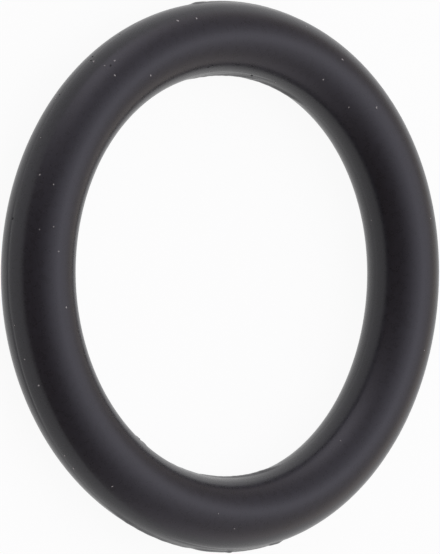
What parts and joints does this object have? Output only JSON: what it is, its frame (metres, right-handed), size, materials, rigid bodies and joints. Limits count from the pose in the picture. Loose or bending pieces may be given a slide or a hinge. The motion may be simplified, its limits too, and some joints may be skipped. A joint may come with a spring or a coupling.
{
  "type": "rubber o-ring",
  "caption": "Moulded black rubber o-ring of round section, with a thin trimmed flash line round its inside and outside, for sealing a rod or a groove.",
  "frame": {"origin": "centre of the ring, on the parting plane half way through its thickness", "axes": "+Z along the ring's axis; the ring lies flat and is the same all round, so X and Y are free"},
  "size_m": [0.0302, 0.0302, 0.004],
  "materials": {
    "rubber": "satin black moulded rubber"
  },
  "bodies": {
    "root": {"o_ring": "rubber"}
  },
  "joints": []
}
